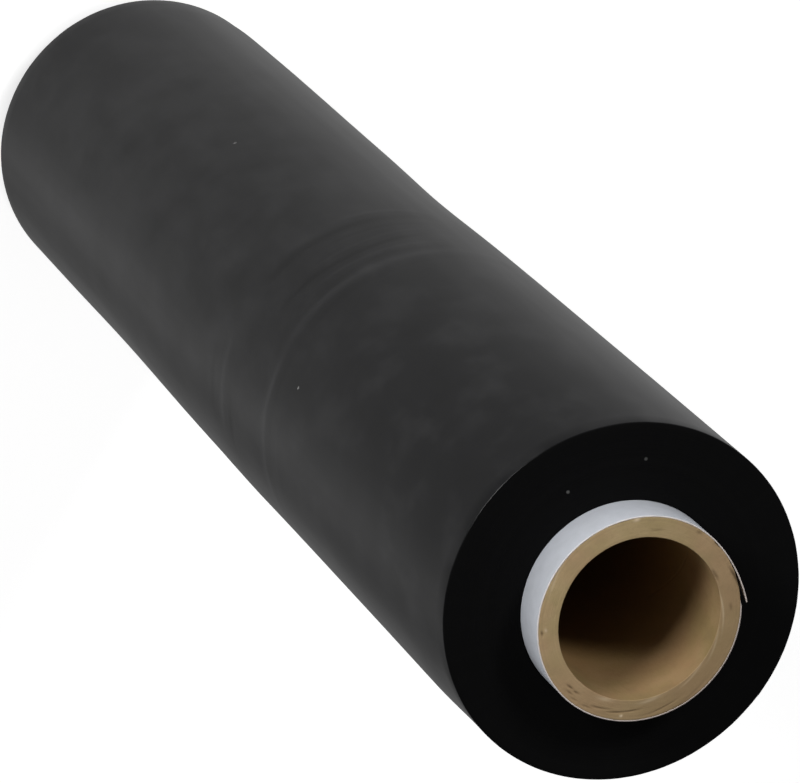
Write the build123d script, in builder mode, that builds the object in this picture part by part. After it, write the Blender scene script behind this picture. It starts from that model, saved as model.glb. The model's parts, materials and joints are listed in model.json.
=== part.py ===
from build123d import *
from math import cos, degrees, radians, sin, tan
import os

# A hand roll of stretch wrap: a card core, the white paper ply glued round it as its
# outermost layer, and the film wound on that. The roll stands on one end of its core.
# The origin is the centre of the core's bottom end and +Z runs up the roll's axis.

# Driving dimensions, in millimetres and degrees
core_bore = 50.0           # inside diameter of the card core
core_wall = 6.0            # thickness of the card, all its brown plies together
ply_thickness = 0.4        # white paper ply on the outside of the card
core_overhang = 13.75      # core standing out past the film at each end
film_width = 500.0         # the winding, from one end face to the other
film_diameter = 110.0      # over the film
rim_round = 0.5            # rounding of the winding's two outer rims

# The winding is a little thinner in the middle of its lower half
waist_depth = 0.5          # how much smaller the radius is there
waist_base = 50.0          # where it starts to thin, above the winding's bottom face
waist_taper_in = 100.0     # length over which it thins
waist_length = 80.0        # length that stays thin
waist_taper_out = 60.0     # length over which it returns to full size

# At the top end the white ply's free corner has peeled away from the card
seam_angle = 33.0          # between the ply's spiral butt seam and the core's end
seam_gap = 0.3             # open joint between the peeled edge and the ply beside it
peel_tip_angle = 138.0     # where the corner's tip stands, about +Z from +X
peel_curl = 1.43           # radius of the peeled paper over the radius it was wound at
held_height = 1.0          # ply still held down between the peel's root and the film

# Worked out from the driving dimensions
bore_radius = core_bore / 2
card_radius = bore_radius + core_wall
ply_radius = card_radius + ply_thickness
film_radius = film_diameter / 2
waist_radius = film_radius - waist_depth
film_base = core_overhang
film_top = film_base + film_width
core_length = film_top + core_overhang

# The peeled triangle reaches from the tip back to its root, just above the film
root_height = film_top + held_height
peel_run = (core_length - root_height) / tan(radians(seam_angle))
peel_arc = degrees(peel_run / card_radius)
peel_root_angle = peel_tip_angle + peel_arc
peel_middle_angle = peel_tip_angle + peel_arc / 2
curl_radius = card_radius * peel_curl
past_tip = 1.25            # blanks reach this much past the tip, for the seam to trim


def around_axis(radius, angle, height):
    """The point at a radius, an angle and a height about the roll's axis."""
    return Vector(radius * cos(radians(angle)), radius * sin(radians(angle)), height)


# The peeled corner's cut edge lies in one plane, with the corner above it, and the edge of
# the ply beside it lies in another, an open joint lower down
seam_root = around_axis(card_radius, peel_root_angle, root_height)
seam_tip = around_axis(card_radius, peel_tip_angle, core_length)
seam_run = (seam_tip - seam_root).normalized()
seam_up = seam_run.cross(around_axis(1, peel_middle_angle, 0)).normalized()
peeled_edge = Plane(origin=seam_root, x_dir=seam_run, z_dir=seam_up)
ply_edge = Plane(origin=seam_root - seam_up * seam_gap, x_dir=seam_run, z_dir=seam_up)

# Card core: one spiral-wound tube, cut square at both ends
with BuildPart() as card_core:
    with BuildSketch(Plane.XY):
        Circle(card_radius)
        Circle(bore_radius, mode=Mode.SUBTRACT)
    extrude(amount=core_length)

# The stretch of ply that the peeled corner has left bare
with BuildPart() as bare_patch:
    with BuildSketch(Plane.XY.offset(film_top)):
        with BuildLine():
            patch_inner = CenterArc((0, 0), card_radius, peel_root_angle, -peel_arc * past_tip)
            patch_outer = CenterArc((0, 0), ply_radius, peel_root_angle, -peel_arc * past_tip)
            Line(patch_inner @ 0, patch_outer @ 0)
            Line(patch_inner @ 1, patch_outer @ 1)
        make_face()
    extrude(amount=core_overhang)
    split(bisect_by=ply_edge, keep=Keep.TOP)

# The peeled corner, which springs out along a wider arc, tangent to the card at its root
curl_centre = around_axis(card_radius - curl_radius, peel_root_angle, 0)
curl_arc = peel_arc / peel_curl * past_tip
with BuildPart() as peeled_corner:
    with BuildSketch(Plane.XY.offset(film_top)):
        with BuildLine():
            curl_inner = CenterArc(curl_centre, curl_radius, peel_root_angle, -curl_arc)
            curl_outer = CenterArc(curl_centre, curl_radius + ply_thickness, peel_root_angle, -curl_arc)
            Line(curl_inner @ 0, curl_outer @ 0)
            Line(curl_inner @ 1, curl_outer @ 1)
        make_face()
    extrude(amount=core_overhang)
    split(bisect_by=peeled_edge, keep=Keep.TOP)

# White outer ply: a paper sleeve over the whole card core, with its peeled corner
with BuildPart() as outer_ply:
    with BuildSketch(Plane.XY):
        Circle(ply_radius)
        Circle(card_radius, mode=Mode.SUBTRACT)
    extrude(amount=core_length)
    add(bare_patch.part, mode=Mode.SUBTRACT)
    add(peeled_corner.part)

# Film: every turn as one solid, seated on the white ply
waist_bottom = film_base + waist_base + waist_taper_in
waist_top = waist_bottom + waist_length
with BuildPart() as film_winding:
    with BuildSketch(Plane.XZ):
        with BuildLine():
            Polyline(
                (ply_radius, film_base),
                (film_radius, film_base),
                (film_radius, film_base + waist_base),
                (waist_radius, waist_bottom),
                (waist_radius, waist_top),
                (film_radius, waist_top + waist_taper_out),
                (film_radius, film_top),
                (ply_radius, film_top),
                close=True,
            )
        make_face()
    revolve(axis=Axis.Z)
    rims = film_winding.edges().filter_by(GeomType.CIRCLE)
    bottom_rim = rims.group_by(Axis.Z)[0].sort_by(SortBy.RADIUS)[-1]
    top_rim = rims.group_by(Axis.Z)[-1].sort_by(SortBy.RADIUS)[-1]
    fillet([bottom_rim, top_rim], radius=rim_round)

card_core.part.label = "card_core"
outer_ply.part.label = "outer_ply"
film_winding.part.label = "film_winding"

os.makedirs("parts", exist_ok=True)
export_step(card_core.part, "parts/card_core.step")
export_step(outer_ply.part, "parts/outer_ply.step")
export_step(film_winding.part, "parts/film_winding.step")
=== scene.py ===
import json
import math

import bpy
import numpy as np
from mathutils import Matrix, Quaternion, Vector, noise


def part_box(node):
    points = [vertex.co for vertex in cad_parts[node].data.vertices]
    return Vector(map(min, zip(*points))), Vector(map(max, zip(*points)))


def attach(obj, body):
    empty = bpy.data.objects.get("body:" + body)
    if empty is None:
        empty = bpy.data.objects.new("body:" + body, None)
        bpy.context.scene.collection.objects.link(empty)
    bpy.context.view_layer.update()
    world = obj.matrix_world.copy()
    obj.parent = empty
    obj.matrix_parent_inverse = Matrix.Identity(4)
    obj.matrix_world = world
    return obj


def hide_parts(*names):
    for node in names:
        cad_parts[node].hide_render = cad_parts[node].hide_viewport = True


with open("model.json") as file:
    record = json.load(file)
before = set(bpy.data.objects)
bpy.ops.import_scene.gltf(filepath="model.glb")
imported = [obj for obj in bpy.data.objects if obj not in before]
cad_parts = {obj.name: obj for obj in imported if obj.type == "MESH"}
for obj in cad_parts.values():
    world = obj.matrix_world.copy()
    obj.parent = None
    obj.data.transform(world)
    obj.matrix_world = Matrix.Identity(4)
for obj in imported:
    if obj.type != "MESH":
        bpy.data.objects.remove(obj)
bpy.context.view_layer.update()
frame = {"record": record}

bl_info = {
    "name": "Stretch wrap roll",
    "version": (1, 0, 0),
    "blender": (4, 5, 0),
    "location": "View3D > Sidebar > Wrap roll",
    "description": "Black stretch film wound on a card core with a white paper ply",
    "category": "Object",
}

# Lengths are metres and angles are degrees. The roll stands on its core, +Z up its axis,
# and an angle about the axis is counted from +X towards +Y.
MM = 0.001
BODY = "root"

film_low, film_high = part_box("film_winding")
card_low, card_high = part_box("card_core")
ply_low, ply_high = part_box("outer_ply")
core_bore = next(m for m in frame["record"]["mounts"] if m["name"] == "core_bore")


# ---------------------------------------------------------------- shared small tools

def smooth_step(low, high, value):
    """0 below low, 1 above high and an even S between them."""
    share = np.clip((value - low) / (high - low), 0.0, 1.0)
    return share * share * (3.0 - 2.0 * share)


def bump(distance, width):
    """A rounded bump, 1 at distance 0 and fading out past width."""
    return np.exp(-(distance / width) ** 2)


def turn_between(angle, centre):
    """Angle from centre, in degrees, between -180 and 180."""
    return (angle - centre + 180.0) % 360.0 - 180.0


def grain(points, scale, offset=0.0):
    """Smooth noise, about -1 to 1, at each point of an array, at scale cells a metre."""
    flat = np.asarray(points, float).reshape(-1, 3) * scale + offset
    values = [noise.noise(Vector(p)) for p in flat]
    return np.array(values).reshape(np.asarray(points).shape[:-1])


def round_points(radius, angle, height):
    """Points at radius, angle and height about the roll's axis, as one array."""
    radius, angle, height = np.broadcast_arrays(radius, np.radians(angle), height)
    return np.stack([radius * np.cos(angle), radius * np.sin(angle), height], axis=-1)


def steps(*stops):
    """Numbers from the first stop on, each later stop given as (value, spacing before it)."""
    values = [stops[0]]
    for stop, spacing in stops[1:]:
        start = values[-1]
        count = max(1, round(abs(stop - start) / spacing))
        values.extend(start + (stop - start) * i / count for i in range(1, count + 1))
    return np.array(values)


def grid_faces(rows, columns, close_rows, close_columns):
    """Quads of a grid of points, with its last row or column joined to its first if asked."""
    row = np.arange(rows if close_rows else rows - 1)
    column = np.arange(columns if close_columns else columns - 1)
    row, column = np.meshgrid(row, column, indexing="ij")
    next_row = (row + 1) % rows
    next_column = (column + 1) % columns
    corners = [
        row * columns + column,
        row * columns + next_column,
        next_row * columns + next_column,
        next_row * columns + column,
    ]
    return np.stack(corners, axis=-1).reshape(-1, 4)


def mesh_piece(name, points, faces, materials, material_of_face):
    """A new mesh object with smooth faces that rides on the roll."""
    mesh = bpy.data.meshes.new(name)
    mesh.from_pydata(points.reshape(-1, 3).tolist(), [], faces.tolist())
    for material in materials:
        mesh.materials.append(material)
    mesh.polygons.foreach_set("material_index", np.asarray(material_of_face, np.int32))
    mesh.polygons.foreach_set("use_smooth", np.ones(len(mesh.polygons), bool))
    mesh.validate()
    piece = bpy.data.objects.new(name, mesh)
    bpy.context.scene.collection.objects.link(piece)
    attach(piece, BODY)
    return piece


# ---------------------------------------------------------------- material nodes

class Nodes:
    """Short calls that add and join the nodes of one tree."""

    def __init__(self, tree):
        self.tree = tree

    def node(self, kind, inputs=None, **settings):
        made = self.tree.nodes.new(kind)
        for key, value in settings.items():
            setattr(made, key, value)
        for key, value in (inputs or {}).items():
            self.feed(made.inputs[key], value)
        return made

    def feed(self, socket, value):
        if isinstance(value, bpy.types.NodeSocket):
            self.tree.links.new(value, socket)
        else:
            socket.default_value = value

    def place(self, scale=(1.0, 1.0, 1.0)):
        """Object coordinates, stretched by scale."""
        coordinates = self.node("ShaderNodeTexCoord").outputs["Object"]
        mapping = self.node("ShaderNodeMapping", {"Vector": coordinates, "Scale": scale})
        return mapping.outputs["Vector"]

    def maths(self, operation, a, b=0.0):
        made = self.node("ShaderNodeMath", operation=operation)
        self.feed(made.inputs[0], a)
        self.feed(made.inputs[1], b)
        return made.outputs["Value"]

    def noise(self, where, scale, detail=3.0, roughness=0.5):
        made = self.node(
            "ShaderNodeTexNoise",
            {"Vector": where, "Scale": scale, "Detail": detail, "Roughness": roughness},
        )
        return made.outputs["Fac"]

    def ramp(self, value, low, high, out_low=0.0, out_high=1.0):
        made = self.node(
            "ShaderNodeMapRange",
            {"Value": value, "From Min": low, "From Max": high,
             "To Min": out_low, "To Max": out_high},
        )
        return made.outputs["Result"]

    def mix(self, share, a, b):
        """Colour a where share is 0 and colour b where it is 1."""
        made = self.node("ShaderNodeMix", data_type="RGBA")
        self.feed(made.inputs["Factor"], share)
        self.feed(made.inputs["A"], a)
        self.feed(made.inputs["B"], b)
        return made.outputs["Result"]

    def relief(self, height, distance, under=None):
        """Normal of a bumpy surface, laid over the normal of one under it."""
        inputs = {"Height": height, "Distance": distance, "Strength": 1.0}
        if under is not None:
            inputs["Normal"] = under
        return self.node("ShaderNodeBump", inputs).outputs["Normal"]

    def radius(self):
        """Distance from the roll's axis."""
        flat = self.place((1.0, 1.0, 0.0))
        return self.node("ShaderNodeVectorMath", {0: flat}, operation="LENGTH").outputs["Value"]

    def height(self):
        split = self.node("ShaderNodeSeparateXYZ", {"Vector": self.place()})
        return split.outputs["Z"]

    def specks(self, where, cells, size, rarity):
        """1 on small round specks, one in some of the cells, and 0 elsewhere."""
        made = self.node("ShaderNodeTexVoronoi", {"Vector": where, "Scale": cells, "Randomness": 1.0})
        near = self.maths("LESS_THAN", made.outputs["Distance"], size)
        red = self.node("ShaderNodeSeparateColor", {"Color": made.outputs["Color"]}).outputs["Red"]
        chosen = self.maths("GREATER_THAN", red, rarity)
        return self.maths("MULTIPLY", near, chosen)


class Finish(Nodes):
    """A material, whose shader is fed last."""

    def __init__(self, name):
        self.material = bpy.data.materials.new(name)
        self.material.use_nodes = True
        super().__init__(self.material.node_tree)
        self.shader = self.tree.nodes["Principled BSDF"]

    def finish(self, **sockets):
        for key, value in sockets.items():
            self.feed(self.shader.inputs[key.replace("_", " ")], value)
        return self.material


def scaled(colour, *shares):
    """Colour with its red, green and blue times shares, or all times one share."""
    shares = shares * 3 if len(shares) == 1 else shares
    return tuple(min(1.0, c * k) for c, k in zip(colour[:3], shares)) + (1.0,)


BLACK = (0.0, 0.0, 0.0, 1.0)
SIDE_DUST = (0.35, 0.34, 0.32, 1.0)
END_DUST = (0.3, 0.3, 0.28, 1.0)
PALE_FLECK = (0.4, 0.4, 0.39, 1.0)
# Painted highlight colour laid along the hoops
HOOP_HIGHLIGHT_FILM = (0.05, 0.05, 0.052, 1.0)


def lay_flecks(skin, tone, film):
    """Tone of the film with its single pale flecks on it."""
    for angle, depth, radius, size, share in FILM_FLECKS:
        centre = round_points(radius * MM, angle, film.top - depth * MM)
        gap = skin.node(
            "ShaderNodeVectorMath", {0: skin.place(), 1: centre}, operation="DISTANCE"
        ).outputs["Value"]
        shown = skin.ramp(gap, size * 1.4 * MM, size * 0.7 * MM, 0.0, share)
        tone = skin.mix(shown, tone, PALE_FLECK)
    return tone


def film_side_finish(film):
    """Satin side of the winding: faint streaks along the axis, hoops with painted highlight and
    painted shade, dust, and painted sheen that lightens the side towards the base, with painted shade
    darkening it again just above the base.
    """
    colour, far_sheen_colour = rgba(film.side_colour), rgba(film.far_sheen_colour)
    skin = Finish("film_side")
    along = skin.noise(skin.place((1.0, 1.0, 0.05)), 180.0, 3.0)
    cloud = skin.noise(skin.place((1.0, 1.0, 0.5)), 22.0, 3.0)
    hoops = skin.noise(skin.place((0.01, 0.01, 1.0)), 700.0, 2.0)
    fine = skin.noise(skin.place(), 2600.0, 2.0)
    dust = skin.specks(skin.place(), 95.0, 0.035, 0.992)
    height = skin.maths("ADD", skin.height(), skin.ramp(cloud, 0.2, 0.8, -0.03, 0.03))
    # Painted sheen: the black side is painted lighter from the top towards the base, and painted
    # shade darkens it again just above the base
    tone = skin.mix(skin.ramp(height, film.base, film.top, 1.0, 0.0), colour, far_sheen_colour)
    tone = skin.mix(skin.ramp(height, film.base + film.base_shade_length, film.base), tone, colour)
    blotch = skin.noise(skin.place((1.0, 1.0, 0.7)), 55.0, 3.0, 0.6)
    tone = skin.mix(skin.ramp(blotch, 0.5, 0.3, 0.0, 0.5), tone, BLACK)
    tone = skin.mix(skin.ramp(blotch, 0.5, 0.75, 0.0, 0.5), tone, scaled(far_sheen_colour, 1.5))
    # Painted highlight and painted shade: the hoops are painted paler where this is above 0 and
    # darker where it is below 0
    hoop_shading = skin.node("ShaderNodeAttribute", attribute_name="hoop_shading").outputs["Fac"]
    tone = skin.mix(skin.ramp(hoop_shading, 0.0, 1.0), tone, HOOP_HIGHLIGHT_FILM)
    tone = skin.mix(skin.ramp(hoop_shading, 0.0, -1.0), tone, BLACK)
    tone = skin.mix(skin.maths("MULTIPLY", dust, 0.6), tone, SIDE_DUST)
    tone = lay_flecks(skin, tone, film)
    streaky = skin.ramp(along, 0.3, 0.7, 0.282, 0.305)
    rough = skin.maths("ADD", streaky, skin.ramp(cloud, 0.3, 0.7, 0.0, 0.02))
    normal = skin.relief(along, 0.010 * MM)
    normal = skin.relief(hoops, 0.004 * MM, under=normal)
    normal = skin.relief(fine, 0.002 * MM, under=normal)
    return skin.finish(
        Base_Color=tone, Roughness=rough, Normal=normal, Specular_IOR_Level=0.25
    )


def film_end_finish(film):
    """Cut-straight edges of the film's turns: very dark and matt, with fine close rings."""
    colour = rgba(film.end_colour)
    skin = Finish("film_end")
    ring = skin.node("ShaderNodeCombineXYZ", {"X": skin.radius()}).outputs["Vector"]
    turns = skin.noise(ring, 2200.0, 3.0)
    bands = skin.noise(ring, 260.0, 2.0)
    dust = skin.specks(skin.place(), 120.0, 0.04, 0.975)
    tone = skin.mix(bands, colour, scaled(colour, 1.8))
    tone = skin.mix(skin.maths("MULTIPLY", dust, 0.5), tone, END_DUST)
    tone = lay_flecks(skin, tone, film)
    normal = skin.relief(turns, 0.06 * MM)
    normal = skin.relief(bands, 0.1 * MM, under=normal)
    return skin.finish(
        Base_Color=tone, Roughness=skin.ramp(turns, 0.3, 0.7, 0.62, 0.8), Normal=normal,
        Specular_IOR_Level=0.08,
    )


def card_finish(name, colour, core):
    """Raw kraft card with short fibres, and ply lines across its cut ends."""
    card = Finish(name)
    fibres = card.noise(card.place((1.0, 1.0, 0.6)), 900.0, 4.0, 0.65)
    blotch = card.noise(card.place(), 130.0, 3.0)
    patch = card.noise(card.place(), 60.0, 2.0)
    fleck = card.specks(card.place(), 420.0, 0.1, 0.93)
    ring = card.node("ShaderNodeCombineXYZ", {"X": card.radius()}).outputs["Vector"]
    plies = card.noise(ring, 1.0 / core.ply_pitch, 1.0)
    dark = scaled(colour, 0.72)
    reddish, yellowish = scaled(colour, 1.08, 1.0, 0.97), scaled(colour, 0.96, 1.0, 0.86)
    tone = card.mix(card.ramp(patch, 0.4, 0.6), reddish, yellowish)
    tone = card.mix(card.ramp(blotch, 0.45, 0.7, 0.0, 0.5), tone, scaled(colour, 1.25))
    tone = card.mix(card.ramp(blotch, 0.45, 0.25, 0.0, 0.5), tone, scaled(colour, 0.8))
    tone = card.mix(card.ramp(fibres, 0.5, 0.8, 0.0, 0.3), tone, dark)
    tone = card.mix(card.ramp(plies, 0.35, 0.6, 0.22, 0.0), tone, dark)
    tone = card.mix(card.maths("MULTIPLY", fleck, 0.35), tone, dark)
    normal = card.relief(fibres, 0.08 * MM)
    normal = card.relief(plies, 0.05 * MM, under=normal)
    return card, tone, {
        "Roughness": card.ramp(fibres, 0.3, 0.7, 0.82, 0.95), "Normal": normal,
        "Specular_IOR_Level": 0.2,
    }


def cut_card_finish(core):
    """Sawn end of the card with its marks, with painted shade darkening it towards +Y."""
    colour = rgba(core.end_colour)
    card, tone, sockets = card_finish("cut_card", colour, core)
    across = card.node("ShaderNodeSeparateXYZ", {"Vector": card.place()}).outputs["Y"]
    # Painted shade: the ring is painted darker across it towards +Y
    shade_tone = scaled(colour, 0.62, 0.57, 0.52)
    tone = card.mix(card.ramp(across, -core.radius, core.radius, 0.0, 0.85), tone, shade_tone)
    mark_and_painted_light = card.node("ShaderNodeAttribute", attribute_name="mark_and_painted_light").outputs["Fac"]
    # Pale tone: scuffs and the painted highlight on the bore's lip; dark tone: painted shade in the
    # gouges
    tone = card.mix(card.ramp(mark_and_painted_light, 0.0, 1.0), tone, scaled(colour, 1.6, 1.75, 2.1))
    tone = card.mix(card.ramp(mark_and_painted_light, 0.0, -1.0), tone, scaled(colour, 0.28, 0.25, 0.22))
    return card.finish(Base_Color=tone, **sockets)


def bore_card_finish(core):
    """Wall of the bore, with painted shade making it darker and richer away from both of its mouths.
    """
    card, tone, sockets = card_finish("bore_card", rgba(core.bore_colour), core)
    half = core.length / 2.0
    from_middle = card.maths("ABSOLUTE", card.maths("SUBTRACT", card.height(), half))
    deep = card.ramp(from_middle, half - core.pale_depth, half - core.deep_depth)
    # Painted shade: the wall is painted darker towards the bore's middle
    tone = card.mix(deep, tone, rgba(core.deep_shade_colour))
    return card.finish(Base_Color=tone, **sockets)


def paper_finish(name, colour, fluff, shade_share=0.0, radius=1.0):
    """Uncoated paper with a faint formation. Fluff is how deep its fibres stand, and the share after
    it how much painted shade darkens the paper at radius towards +Y."""
    paper = Finish(name)
    formation = paper.noise(paper.place(), 260.0, 4.0, 0.6)
    fibres = paper.noise(paper.place((1.0, 1.0, 0.5)), 2400.0, 3.0, 0.6)
    smudge = paper.noise(paper.place((1.0, 1.0, 0.6)), 45.0, 2.0)
    across = paper.node("ShaderNodeSeparateXYZ", {"Vector": paper.place()}).outputs["Y"]
    tone = paper.mix(paper.ramp(formation, 0.35, 0.7), colour, scaled(colour, 0.92))
    tone = paper.mix(paper.ramp(smudge, 0.5, 0.8, 0.0, 0.5), tone, scaled(colour, 0.88, 0.86, 0.83))
    # Painted shade: the paper is painted darker across it towards +Y
    shade_tone = scaled(colour, 0.50, 0.45, 0.42)
    tone = paper.mix(paper.ramp(across, -radius, radius, 0.0, shade_share), tone, shade_tone)
    normal = paper.relief(fibres, fluff)
    normal = paper.relief(formation, 0.03 * MM, under=normal)
    return paper.finish(
        Base_Color=tone, Roughness=paper.ramp(fibres, 0.3, 0.7, 0.75, 0.9), Normal=normal,
        Specular_IOR_Level=0.25,
    )


# ---------------------------------------------------------------- settings

def length_setting(label, description, default):
    return bpy.props.FloatProperty(
        name=label, description=description, default=default, min=0.0,
        subtype="DISTANCE", unit="LENGTH", precision=5,
    )


def angle_setting(label, description, degrees):
    return bpy.props.FloatProperty(
        name=label, description=description, default=math.radians(degrees),
        subtype="ANGLE", unit="ROTATION",
    )


def colour_setting(label, description, default):
    return bpy.props.FloatVectorProperty(
        name=label, description=description, default=default, size=3, min=0.0, max=1.0,
        subtype="COLOR",
    )


def plain_setting(label, description, default):
    return bpy.props.FloatProperty(name=label, description=description, default=default)


def rgba(colour):
    return (colour[0], colour[1], colour[2], 1.0)


class FilmWindingSettings(bpy.types.PropertyGroup):
    radius: length_setting("Radius", "Outside radius of the winding", film_high.x)
    base: length_setting("Base", "Height of the winding's bottom face", film_low.z)
    top: length_setting("Top", "Height of the winding's top face", film_high.z)
    seat: length_setting("Seat radius", "Radius the film is wound on", ply_high.x)
    rim_round: length_setting("Rim rounding", "Rounding of the outer rims", 0.5 * MM)
    waist_depth: length_setting("Waist depth", "How much thinner the waist is", 0.5 * MM)
    waist_base: length_setting("Waist base", "Where the film starts to thin", 50 * MM)
    waist_taper_in: length_setting("Waist taper in", "Length over which it thins", 100 * MM)
    waist_length: length_setting("Waist length", "Length that stays thin", 80 * MM)
    waist_taper_out: length_setting("Waist taper out", "Length over which it returns", 60 * MM)
    # Painted shade: length above the base over which the side is painted darker again
    base_shade_length: length_setting("Dark length", "Length by the base that darkens again", 90 * MM)
    side_colour: colour_setting("Side colour", "Film's side by the top", (0.0015, 0.0015, 0.002))
    # Painted sheen: the lighter colour the side is painted by the base
    far_sheen_colour: colour_setting("Far colour", "Film's side by the base", (0.013, 0.013, 0.0135))
    end_colour: colour_setting("End colour", "Colour of the film's edges", (0.0014, 0.0014, 0.0015))


class CardCoreSettings(bpy.types.PropertyGroup):
    radius: length_setting("Radius", "Outside radius of the card", card_high.x)
    bore: length_setting("Bore radius", "Radius of the bore", core_bore["dims"]["r_mm"] * MM)
    length: length_setting("Length", "Length of the core", card_high.z)
    ply_pitch: length_setting("Ply pitch", "Thickness of one brown ply", 0.55 * MM)
    seam_angle: angle_setting("Seam angle", "Bore seam to the core's end", 50)
    end_colour: colour_setting("End colour", "Colour of the cut card", (0.45, 0.33, 0.19))
    bore_colour: colour_setting("Bore colour", "Bore's wall by its mouths", (0.31, 0.212, 0.108))
    # Painted shade deep in the bore, laid between pale depth and deep depth
    deep_shade_colour: colour_setting("Deep colour", "Bore's wall further in", (0.27, 0.160, 0.062))
    pale_depth: length_setting("Pale depth", "Where the bore starts to darken", 6 * MM)
    deep_depth: length_setting("Deep depth", "Where the bore is darkest", 45 * MM)


class OuterPlySettings(bpy.types.PropertyGroup):
    radius: length_setting("Radius", "Outside radius of the paper", ply_high.x)
    seat: length_setting("Seat radius", "Radius of the card under it", card_high.x)
    length: length_setting("Length", "Length of the ply", ply_high.z)
    held: length_setting("Held length", "Ply held down above the film", 1 * MM)
    seam_angle: angle_setting("Seam angle", "Butt seam to the core's end", 33)
    seam_gap: length_setting("Seam gap", "Open joint beside the seam", 0.3 * MM)
    tip_angle: angle_setting("Tip angle", "Where the seam meets the end", 138)
    curl: plain_setting("Curl", "Radius of the peeled paper over its wound radius", 1.43)
    colour: colour_setting("Colour", "Colour of the paper", (0.475, 0.495, 0.535))
    edge_colour: colour_setting("Edge colour", "Colour of the paper's cut edge", (0.93, 0.87, 0.84))
    # The flap's back is painted dark brown: partly the brown of its glue, partly painted shade in the
    # gap under the flap
    back_glue_and_shade_colour: colour_setting("Back colour", "Glued back of the peeled paper", (0.10, 0.075, 0.05))


class StageSettings(bpy.types.PropertyGroup):
    aim_across: length_setting("Aim across", "How far off the axis the camera aims", 0.57 * MM)
    aim_height: length_setting("Aim height", "Height that the camera aims at", 312.44 * MM)
    distance: length_setting("Distance", "Camera to the aim", 1.7703)
    elevation: angle_setting("Elevation", "Camera above the horizon", 63.82)
    roll: angle_setting("Roll", "Camera turned about its line of sight", 133.84)
    lens: plain_setting("Lens", "Focal length in millimetres", 247.5)
    room_light: plain_setting("Room light", "Strength of the light all round", 0.335)
    floor_colour: colour_setting("Floor colour", "Colour of the floor", (0.9, 0.9, 0.9))


# ---------------------------------------------------------------- film winding

# Hoops left by turns that wound thick or thin, as (depth below the top face, rise, half
# width, wander, first angle, last angle, shading, seed), in millimetres and degrees. Wander is
# how far a hoop strays along the axis, and shading how much paler (or, below 0, darker) the
# hoop is painted: painted highlight above 0 and painted shade below it.
FILM_HOOPS = (
    (173.5, 0.018, 2.6, 3.0, 0.0, 360.0, 0.10, 1.0),
    (172.0, 0.022, 1.5, 2.0, -76.0, -14.0, 0.26, 1.0),
    (172.5, 0.016, 2.4, 4.0, -146.0, -70.0, 0.10, 2.0),
    (165.5, -0.015, 2.5, 3.0, 0.0, 360.0, -0.35, 1.0),
    (178.5, -0.012, 1.4, 3.0, -152.0, -84.0, -0.40, 3.0),
    (184.0, 0.015, 1.2, 3.0, -150.0, -90.0, 0.08, 4.0),
    (191.5, -0.025, 1.9, 4.0, -144.0, -78.0, -0.80, 5.0),
    (198.0, 0.018, 1.2, 4.0, -152.0, -92.0, 0.08, 6.0),
    (204.0, -0.015, 1.2, 4.0, -150.0, -100.0, -0.40, 7.0),
    (211.5, -0.030, 3.4, 5.0, -156.0, -80.0, -1.00, 8.0),
    (219.5, 0.025, 1.6, 5.0, -156.0, -110.0, 0.12, 8.0),
    (216.0, 0.035, 2.0, 4.0, -68.0, -24.0, 0.30, 8.0),
    (207.0, -0.035, 2.0, 4.0, -54.0, -20.0, -1.00, 8.0),
    (226.0, -0.030, 2.2, 4.0, -62.0, -26.0, -1.00, 9.0),
    (158.0, 0.015, 1.2, 2.0, -56.0, -22.0, 0.12, 10.0),
    (201.0, 0.025, 2.2, 5.0, 30.0, 150.0, 0.12, 12.0),
)

# Pale flecks on the film, as (angle, depth below the top face, radius, size, share), in
# degrees and millimetres. Share is how much of the film's own colour a fleck covers.
FILM_FLECKS = (
    (-67.0, 151.0, 55.0, 0.55, 0.4),
    (-113.0, 322.0, 54.5, 0.6, 0.2),
    (-107.4, 0.0, 40.0, 0.45, 0.22),
    (-141.5, 0.0, 43.9, 0.45, 0.15),
)
FILM_TAIL_ANGLE = 98.0     # where the film's loose end lies, in degrees

# The stretch of the winding that holds the hoops, below the top face, in millimetres, with
# the spacing of the rows of points there and elsewhere
HOOPS_START = 152.0
HOOPS_END = 236.0
CLOSE_ROWS = 0.7
WIDE_ROWS = 6.0
FILM_COLUMNS = 288


def hoop_at(hoop, depth, angle):
    """How strong a hoop is at a depth below the top face: 1 on its crest, 0 away from it."""
    place, _, half_width, wander, first, last, _, seed = hoop
    circle = round_points(1.0, angle, 0.0)
    stray = grain(circle, 1.3, seed) * wander + grain(circle, 5.0, seed) * 0.3
    strength = 0.8 + 0.5 * grain(circle, 2.2, seed + 20.0)
    middle = (first + last) / 2.0
    off_middle = np.abs(turn_between(angle, middle))
    reach = (last - first) / 2.0
    fade = 1.0 if reach >= 180.0 else smooth_step(reach, reach - 16.0, off_middle)
    return strength * fade * bump(depth / MM - place - stray, half_width)


def film_bow(depth, towards_x):
    """How far a bow and two fuller stretches stand the winding's side out, in millimetres,
    at a depth below the top face. towards_x is 1 on the side facing +X and -1 opposite."""
    bow = bump(depth - 275.0, 80.0) * 0.6 * towards_x
    fuller = smooth_step(4.0, 40.0, depth) * smooth_step(420.0, 260.0, depth) * 0.7
    far_fuller = smooth_step(270.0, 330.0, depth) * smooth_step(497.0, 485.0, depth) * 0.55
    return bow + fuller * np.maximum(towards_x, 0.0) + far_fuller * np.maximum(-towards_x, 0.0)


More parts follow.
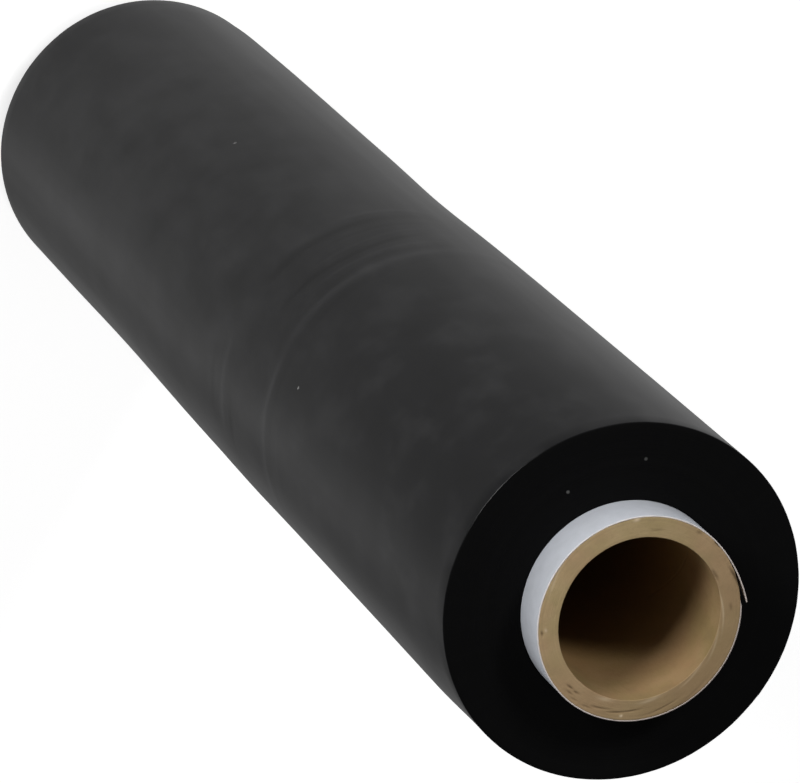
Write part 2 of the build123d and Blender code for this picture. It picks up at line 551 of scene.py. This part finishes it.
def film_radius_at(film, height, angle):
    """Radius of the winding's side: waist, hoops, slack and the step at the film's tail."""
    waist_top = film.base + film.waist_base + film.waist_taper_in + film.waist_length
    thinning = smooth_step(0.0, film.waist_taper_in, height - film.base - film.waist_base)
    filling = smooth_step(0.0, film.waist_taper_out, height - waist_top)
    radius = film.radius - film.waist_depth * (thinning - filling)
    for hoop in FILM_HOOPS:
        radius = radius + hoop[1] * MM * hoop_at(hoop, film.top - height, angle)
    where = round_points(film.radius, angle, height)
    slack = grain(where * (1.0, 1.0, 0.3), 45.0, 3.0) * 0.05
    slack = slack + grain(where * (1.0, 1.0, 0.5), 120.0, 9.0) * 0.012
    bow = film_bow((film.top - height) / MM, np.cos(np.radians(angle)))
    tail = turn_between(angle + grain(where, 14.0, 5.0) * 0.5, FILM_TAIL_ANGLE)
    step = smooth_step(-0.4, 0.4, tail) * smooth_step(60.0, 0.4, tail) * 0.10
    return radius + (slack + bow + step) * MM


def film_points(film):
    """Closed rows of points: up the side, in over the top, down the seat and back out."""
    angles = np.arange(0.0, 360.0, 360.0 / FILM_COLUMNS)[None, :]
    low, high = film.base + film.rim_round, film.top - film.rim_round
    heights = steps(
        low,
        (film.top - HOOPS_END * MM, WIDE_ROWS * MM),
        (film.top - HOOPS_START * MM, CLOSE_ROWS * MM),
        (high, WIDE_ROWS * MM),
    )[:, None]
    side = round_points(film_radius_at(film, heights, angles), angles, heights)

    corner = np.radians(np.array([22.5, 45.0, 67.5]))[:, None]
    round_out = film.rim_round * (1.0 - np.cos(corner))
    round_up = film.rim_round * np.sin(corner)
    ragged = round_points(1.0, angles, 0.0)
    ragged_top = grain(ragged, 40.0, 1.0) * 0.08 * MM + grain(ragged, 9.0, 2.0) * 0.08 * MM
    ragged_low = grain(ragged, 40.0, 11.0) * 0.08 * MM + grain(ragged, 9.0, 12.0) * 0.08 * MM
    rim_high = film_radius_at(film, high, angles)
    rim_low = film_radius_at(film, low, angles)
    top_round = round_points(rim_high - round_out, angles, high + round_up + ragged_top)
    low_round = round_points(rim_low - round_out, angles, low - round_up + ragged_low)[::-1]

    edge, inner = film.radius - film.rim_round, film.seat + 0.06 * MM
    radii = steps(edge, (film.seat + 2 * MM, 1.2 * MM), (inner, 0.5 * MM))[:, None]
    flat = round_points(radii, angles, 0.0)
    fade = smooth_step(film.seat, edge, radii)
    relief = grain(round_points(radii, 0.0, 0.0), 330.0, 4.0) * 0.10 * MM
    relief = relief + grain(flat, 60.0, 6.0) * 0.05 * MM
    rim_follow = (radii - edge) + (rim_high - film.rim_round - edge) * fade
    top_face = round_points(edge + rim_follow, angles, film.top + relief + ragged_top * fade)
    rim_follow = (radii - edge) + (rim_low - film.rim_round - edge) * fade
    low_face = round_points(edge + rim_follow, angles, film.base - relief + ragged_low * fade)

    seat_rows = np.linspace(film.top - 3 * MM, film.base + 3 * MM, 4)[:, None]
    seat = round_points(inner, angles, seat_rows)
    rows = [side, top_round, top_face, seat, low_face[::-1], low_round]
    return np.concatenate(rows), len(side), len(top_round)


def film_hoop_shading(film, points):
    """How pale (1) or dark (-1) the film is painted at each point along its hoops, as painted
    highlight and painted shade.
    """
    angle = np.degrees(np.arctan2(points[..., 1], points[..., 0]))
    depth = film.top - points[..., 2]
    lit_and_shaded = sum(hoop[6] * hoop_at(hoop, depth, angle) for hoop in FILM_HOOPS)
    on_side = np.hypot(points[..., 0], points[..., 1]) > film.radius - 2 * MM
    return np.clip(lit_and_shaded * on_side, -1.0, 1.0)


class STRETCH_ROLL_OT_wind_film(bpy.types.Operator):
    """Wind the black film as one solid with its hoops, rims and end faces"""

    bl_idname = "stretch_roll.wind_film"
    bl_label = "Wind film"

    def execute(self, context):
        film = context.scene.film_winding
        points, side_rows, rim_rows = film_points(film)
        rows, columns = points.shape[:2]
        faces = grid_faces(rows, columns, True, True)
        row_of_face = np.repeat(np.arange(rows), columns)
        is_side = (row_of_face < side_rows + 1) | (row_of_face >= rows - rim_rows + 1)
        piece = mesh_piece(
            "wound_film", points, faces,
            [film_side_finish(film), film_end_finish(film)],
            np.where(is_side, 0, 1),
        )
        # How much painted highlight (above 0) and painted shade (below 0) each point of the hoops
        # gets
        hoop_shading = piece.data.attributes.new("hoop_shading", "FLOAT", "POINT")
        hoop_shading.data.foreach_set("value", film_hoop_shading(film, points).ravel())
        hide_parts("film_winding")
        return {"FINISHED"}


# ---------------------------------------------------------------- card core

# Marks in the top ring, as (angle, radius, half length along the ring, half width across it,
# depth, tone), in degrees and millimetres. Tone is 1 for a pale scuff and -1 for a dark gouge;
# the dark tone of a gouge is painted shade in its hollow. The pale rows at a radius of 25.6
# to 25.7 are not scuffs but a painted highlight along the bore's lip.
CORE_MARKS_AND_PAINTED_LIGHT = (
    (-1.8, 27.9, 1.1, 0.28, 0.30, -0.9),
    (3.6, 27.9, 1.0, 0.28, 0.30, -0.8),
    (0.4, 29.2, 1.2, 0.25, 0.25, -0.6),
    (5.7, 29.8, 1.2, 0.22, 0.20, -0.5),
    (14.5, 29.7, 1.6, 0.22, 0.20, -0.5),
    (22.0, 28.6, 2.6, 0.25, 0.25, -0.7),
    (33.0, 28.8, 2.8, 0.25, 0.25, -0.7),
    (43.0, 28.2, 2.4, 0.25, 0.20, -0.6),
    (62.0, 29.3, 4.5, 0.25, 0.15, -0.4),
    (36.4, 29.7, 0.4, 0.4, -0.08, 1.0),
    (-41.4, 29.8, 0.7, 0.35, 0.25, -0.8),
    (-43.1, 28.7, 0.6, 0.4, 0.0, 0.6),
    (-130.5, 30.5, 0.9, 0.5, -0.05, 1.0),
    (-143.9, 27.0, 1.8, 0.35, 0.10, -0.35),
    (-169.7, 30.2, 1.0, 0.6, 0.15, -0.5),
    (177.1, 31.0, 1.2, 0.6, 0.30, -0.6),
    (157.6, 30.4, 2.0, 0.4, 0.20, -0.7),
    (152.8, 30.9, 2.5, 0.4, 0.25, -0.9),
    (137.6, 28.1, 1.0, 0.5, 0.10, -0.5),
    # Painted highlight along the bore's lip
    (22.8, 25.6, 2.2, 0.6, 0.0, 0.35),
    (54.7, 25.7, 3.6, 0.5, 0.0, 0.35),
    (88.0, 25.6, 5.0, 0.3, 0.0, 0.25),
    (112.0, 25.7, 5.0, 0.3, 0.0, 0.25),
    (137.0, 25.6, 5.5, 0.25, -0.04, 0.45),
    (161.0, 25.5, 2.2, 0.5, 0.35, -0.6),
    (75.0, 30.5, 9.0, 0.5, 0.06, -0.25),
    (-75.0, 30.3, 5.0, 0.3, 0.04, 0.4),
)


CORE_COLUMNS = 432


def core_marks_and_painted_light(points):
    """How sunk, in millimetres, and how pale or dark each point of the top ring is, with painted
    shade in the gouges and a painted highlight on the bore's lip.
    """
    angle = np.degrees(np.arctan2(points[..., 1], points[..., 0]))
    radius = np.hypot(points[..., 0], points[..., 1]) / MM
    sunk = np.zeros(radius.shape)
    tone = np.zeros(radius.shape)
    for mark_angle, mark_radius, long, wide, depth, shade in CORE_MARKS_AND_PAINTED_LIGHT:
        along = np.radians(turn_between(angle, mark_angle)) * mark_radius
        across = radius - mark_radius + along * 0.12
        share = bump(along, long) * bump(across, wide)
        sunk = sunk + depth * share
        tone = tone + shade * share
    return sunk, np.clip(tone, -1.0, 1.0)


def core_points(core):
    """Closed rows of points: up the outside, in over the top ring, down the bore, back out."""
    angles = np.arange(0.0, 360.0, 360.0 / CORE_COLUMNS)[None, :]
    # The bore's columns follow its spiral seam, in whole turns so that both ends meet
    turns = round(core.length / (2.0 * math.pi * core.bore * math.tan(core.seam_angle)))
    lead = 360.0 * turns / core.length

    outside_rows = np.linspace(2 * MM, core.length - 2 * MM, 5)[:, None]
    outside = round_points(core.radius, angles, outside_rows)

    across = steps(
        core.radius, (core.bore + 0.4 * MM, 0.22 * MM), (core.bore + 0.1 * MM, 0.1 * MM)
    )[:, None]
    flat = round_points(across, angles, 0.0)
    saw = grain(flat, 220.0, 1.0) * 0.05 + grain(flat, 900.0, 2.0) * 0.035
    plies = np.cos(2.0 * math.pi * (core.radius - across) / core.ply_pitch) * 0.02
    top = core.length + (saw + plies) * MM - 0.06 * MM
    top = top - core_marks_and_painted_light(flat)[0] * MM
    top_ring = round_points(across, angles, top)
    saw = grain(flat, 220.0, 5.0) * 0.04 + grain(flat, 900.0, 6.0) * 0.03
    low_ring = round_points(across, angles, np.maximum(0.0, (saw + plies * 0.5 + 0.05) * MM))

    depths = steps(0.15 * MM, (3 * MM, 0.35 * MM), (60 * MM, 1.9 * MM), (core.length / 2, 8 * MM))
    heights = np.concatenate([core.length - depths, depths[::-1][1:]])[:, None]
    swirl = angles + lead * heights
    wall = round_points(core.bore, swirl, heights)
    seam = bump(turn_between(angles, 205.0), 0.8) * 0.10
    seam = seam + bump(turn_between(angles, 25.0), 0.8) * 0.04
    dents = grain(wall * (1.0, 1.0, 0.35), 60.0, 7.0) * 0.10 + grain(wall, 300.0, 8.0) * 0.03
    lip = bump(np.minimum(heights, core.length - heights) / MM, 0.5) * 0.12
    bore = round_points(core.bore + (seam + dents - lip) * MM, swirl, heights)
    return np.concatenate([outside, top_ring, bore, low_ring[::-1]]), len(outside), len(top_ring)


class STRETCH_ROLL_OT_cut_core(bpy.types.Operator):
    """Make the brown card core with its sawn ends and spiral seam in the bore"""

    bl_idname = "stretch_roll.cut_core"
    bl_label = "Cut core"

    def execute(self, context):
        core = context.scene.card_core
        points, outside_rows, ring_rows = core_points(core)
        rows, columns = points.shape[:2]
        faces = grid_faces(rows, columns, True, True)
        row_of_face = np.repeat(np.arange(rows), columns)
        bore_start = outside_rows + ring_rows
        is_bore = (row_of_face >= bore_start) & (row_of_face < rows - ring_rows - 1)
        piece = mesh_piece(
            "brown_core", points, faces,
            [cut_card_finish(core), bore_card_finish(core)],
            np.where(is_bore, 1, 0),
        )
        tone = piece.data.attributes.new("mark_and_painted_light", "FLOAT", "POINT")
        on_top = points[..., 2] > core.length - 1 * MM
        tone.data.foreach_set("value", (core_marks_and_painted_light(points)[1] * on_top).ravel())
        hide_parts("card_core")
        return {"FINISHED"}


# ---------------------------------------------------------------- white outer ply

def ply_points(ply, film):
    """Rows of points up the outside of the ply and down its inside, from seam to seam."""
    tip = math.degrees(ply.tip_angle)
    fall = math.tan(ply.seam_angle)
    root_height = film.top + ply.held
    peel_arc = math.degrees((ply.length - root_height) / fall / ply.seat)
    root = tip + peel_arc
    gap = math.degrees(ply.seam_gap / math.sin(ply.seam_angle) / ply.seat)
    lead = math.degrees(1.0 / fall / ply.seat)

    heights = steps(
        0.0, (film.base, 1.2 * MM), (film.top, 40 * MM), (ply.length, 0.45 * MM)
    )[:, None]
    shares = np.concatenate([np.linspace(0.0, 45.0, 91), np.linspace(45.0, 360.0 - gap, 260)[1:]])
    # Columns lean with the seam where the ply shows, and run straight under the film
    hidden = film.top - film.base
    below_top = ply.length - heights
    start = tip + lead * np.where(
        heights < film.top, np.maximum(ply.length - film.top, below_top - hidden), below_top
    )
    angles = start + shares[None, :]

    peeled = (heights >= root_height) * np.clip(root - angles, 0.0, None)
    curl_radius = ply.seat * ply.curl
    centre = round_points(ply.seat - curl_radius, root, 0.0)

    def skin(radius):
        held_down = round_points(radius, angles, heights)
        sprung = round_points(
            curl_radius + radius - ply.seat, root - peeled / ply.curl, heights
        ) + centre
        return np.where((peeled > 0.0)[..., None], sprung, held_down)

    outer, inner = skin(ply.radius), skin(ply.seat)
    ripple = grain(outer, 120.0, 2.0) * 0.03 * MM
    exposed = np.where(
        (heights > film.top) | (heights < film.base), np.abs(ripple), 0.0
    )[..., None]
    outward = outer - inner
    outward = outward / np.linalg.norm(outward, axis=-1, keepdims=True)
    frayed = grain(round_points(1.0, angles[-1:], 0.0), 60.0, 3.0) * 0.07 * MM
    outer = outer + outward * exposed
    outer[-1, :, 2] += frayed[0] - 0.02 * MM
    inner[-1, :, 2] += frayed[0] - 0.02 * MM
    return np.concatenate([outer, inner[::-1]]), len(outer)


class STRETCH_ROLL_OT_wrap_ply(bpy.types.Operator):
    """Wrap the white paper ply round the core, with its peeled corner at the top"""

    bl_idname = "stretch_roll.wrap_ply"
    bl_label = "Wrap ply"

    def execute(self, context):
        ply = context.scene.outer_ply
        points, outer_rows = ply_points(ply, context.scene.film_winding)
        rows, columns = points.shape[:2]
        faces = grid_faces(rows, columns, True, False)
        row_of_face = np.repeat(np.arange(rows), columns - 1)
        is_edge = (row_of_face == outer_rows - 1) | (row_of_face == rows - 1)
        is_back = row_of_face > outer_rows - 1
        ends = []
        for row in range(outer_rows - 1):
            low, high = row, row + 1
            low_in, high_in = rows - 1 - row, rows - 2 - row
            for column, order in ((0, 1), (columns - 1, -1)):
                ring = [low, high, high_in, low_in][::order]
                ends.append([r * columns + column for r in ring])
        faces = np.concatenate([faces, np.array(ends)])
        side = np.where(is_edge, 1, np.where(is_back, 2, 0))
        material = np.concatenate([side, np.ones(len(ends), int)])
        piece = mesh_piece(
            "white_ply", points, faces,
            [paper_finish("ply_paper", rgba(ply.colour), 0.02 * MM),
             # The cut edge gets painted shade towards +Y
             paper_finish("ply_edge", rgba(ply.edge_colour), 0.06 * MM, 0.95, ply.radius),
             # The back gets the glue brown and painted shade
             paper_finish("ply_back", rgba(ply.back_glue_and_shade_colour), 0.06 * MM)],
            material,
        )
        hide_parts("outer_ply")
        return {"FINISHED"}


# ---------------------------------------------------------------- stage

# Softboxes as (name, place, aim, width, height, power in watts)
SOFTBOXES = (
    ("key_softbox", (0.33, -3.74, 1.78), (0.0, 0.0, 0.5), 1.4, 1.4, 108.0),
    ("side_softbox", (-2.42, -0.88, 2.80), (0.0, 0.0, 0.5), 0.8, 0.8, 43.0),
)


# How the room's light changes round the roll, as (angle where a change starts, angle where it
# is whole, change), in degrees from the front towards +X. Without a change the light is 1.
ROOM_CHANGES = (
    (66.0, 80.0, 0.28),
    (92.0, 106.0, -0.78),
    (122.0, 140.0, 0.40),
    (150.0, 180.0, 0.19),
    (-85.0, -135.0, 0.28),
    (-150.0, -180.0, -0.19),
)
STAGE_RADIUS = 12.0


def stage_finish(name, colour, glow, shade_radius=None):
    """Pale matt cloth with a glow of its own, which dies away inside shade_radius if given, as a
    painted contact shadow.
    """
    stage = Finish(name)
    weave = stage.noise(stage.place(), 3.0, 2.0)
    tone = stage.mix(weave, colour, scaled(colour, 0.98))
    if shade_radius:
        # Painted shadow: the glow fades towards the middle, under the roll
        glow = stage.ramp(stage.radius(), shade_radius * 0.55, shade_radius, 0.0, glow)
    return stage.finish(
        Base_Color=tone, Roughness=0.9, Emission_Color=(1.0, 1.0, 1.0, 1.0),
        Emission_Strength=glow,
    )


def world_of_studio(strength):
    """Room light round the roll, which changes with the way it comes from."""
    world = bpy.data.worlds.new("studio")
    world.use_nodes = True
    room = Nodes(world.node_tree)
    way = room.node("ShaderNodeTexCoord").outputs["Generated"]
    split = room.node("ShaderNodeSeparateXYZ", {"Vector": way})
    front = room.maths("MULTIPLY", split.outputs["Y"], -1.0)
    turn = room.maths("ARCTAN2", split.outputs["X"], front)
    light = 1.0
    for start, end, change in ROOM_CHANGES:
        part = room.ramp(turn, math.radians(start), math.radians(end), 0.0, change)
        light = room.maths("ADD", light, part)
    above = room.ramp(split.outputs["Z"], -0.3, 0.1, 1.0, 0.55)
    light = room.maths("MULTIPLY", light, above)
    background = world.node_tree.nodes["Background"]
    room.feed(background.inputs["Strength"], room.maths("MULTIPLY", light, strength))
    background.inputs["Color"].default_value = (1.0, 1.0, 1.0, 1.0)
    bpy.context.scene.world = world


class STRETCH_ROLL_OT_set_stage(bpy.types.Operator):
    """Set the floor, the backdrop, the soft lights and the camera"""

    bl_idname = "stretch_roll.set_stage"
    bl_label = "Set stage"

    def execute(self, context):
        stage = context.scene.roll_stage
        scene = context.scene
        colour = rgba(stage.floor_colour)

        bpy.ops.mesh.primitive_circle_add(vertices=96, radius=STAGE_RADIUS, fill_type="NGON")
        floor = context.object
        floor.name = "floor"
        floor.location.z = -0.05 * MM
        # The floor gets a painted contact shadow under the roll
        painted_shadow_radius = context.scene.film_winding.radius
        sweep = stage_finish("floor_sweep", scaled(colour, 0.5), 0.8, painted_shadow_radius)
        floor.data.materials.append(sweep)
        floor.visible_glossy = False

        bpy.ops.mesh.primitive_uv_sphere_add(segments=64, ring_count=32, radius=STAGE_RADIUS)
        backdrop = context.object
        backdrop.name = "backdrop"
        backdrop.data.materials.append(stage_finish("backdrop_cloth", colour, 0.9))
        backdrop.visible_diffuse = False
        backdrop.visible_glossy = False
        backdrop.visible_transmission = False
        backdrop.visible_shadow = False

        for name, place, aim, width, height, power in SOFTBOXES:
            light = bpy.data.lights.new(name, "AREA")
            light.shape = "RECTANGLE"
            light.size = width
            light.size_y = height
            light.energy = power
            lamp = bpy.data.objects.new(name, light)
            lamp.location = place
            lamp.rotation_euler = (Vector(aim) - Vector(place)).to_track_quat("-Z", "Y").to_euler()
            lamp.visible_camera = False
            scene.collection.objects.link(lamp)
        world_of_studio(stage.room_light)

        camera = bpy.data.cameras.new("camera")
        camera.lens = stage.lens
        camera.sensor_width = 36.0
        camera.clip_end = 200.0
        eye = bpy.data.objects.new("camera", camera)
        back = Vector((0.0, -math.cos(stage.elevation), math.sin(stage.elevation)))
        eye.location = Vector((stage.aim_across, 0.0, stage.aim_height)) + back * stage.distance
        level = (-back).to_track_quat("-Z", "Y")
        eye.rotation_euler = (level @ Quaternion((0.0, 0.0, 1.0), stage.roll)).to_euler()
        scene.collection.objects.link(eye)
        scene.camera = eye
        scene.view_settings.view_transform = "Standard"
        return {"FINISHED"}


# ---------------------------------------------------------------- panel and registration

class STRETCH_ROLL_PT_parts(bpy.types.Panel):
    """Lists the roll's pieces and the stage"""

    bl_idname = "STRETCH_ROLL_PT_parts"
    bl_label = "Wrap roll"
    bl_space_type = "VIEW_3D"
    bl_region_type = "UI"
    bl_category = "Wrap roll"

    def draw(self, context):
        for group, settings_class, operator in MAKERS:
            box = self.layout.box()
            box.operator(operator)
            settings = getattr(context.scene, group)
            for name in settings_class.__annotations__:
                box.prop(settings, name)


MAKERS = (
    ("film_winding", FilmWindingSettings, "stretch_roll.wind_film"),
    ("card_core", CardCoreSettings, "stretch_roll.cut_core"),
    ("outer_ply", OuterPlySettings, "stretch_roll.wrap_ply"),
    ("roll_stage", StageSettings, "stretch_roll.set_stage"),
)
CLASSES = (
    FilmWindingSettings,
    CardCoreSettings,
    OuterPlySettings,
    StageSettings,
    STRETCH_ROLL_OT_wind_film,
    STRETCH_ROLL_OT_cut_core,
    STRETCH_ROLL_OT_wrap_ply,
    STRETCH_ROLL_OT_set_stage,
    STRETCH_ROLL_PT_parts,
)


def register():
    for cls in CLASSES:
        bpy.utils.register_class(cls)
    for group, settings_class, _ in MAKERS:
        setattr(bpy.types.Scene, group, bpy.props.PointerProperty(type=settings_class))


def unregister():
    for group, _, _ in MAKERS:
        delattr(bpy.types.Scene, group)
    for cls in reversed(CLASSES):
        bpy.utils.unregister_class(cls)


def main():
    register()
    bpy.ops.stretch_roll.wind_film()
    bpy.ops.stretch_roll.cut_core()
    bpy.ops.stretch_roll.wrap_ply()
    bpy.ops.stretch_roll.set_stage()


if __name__ == "__main__":
    main()
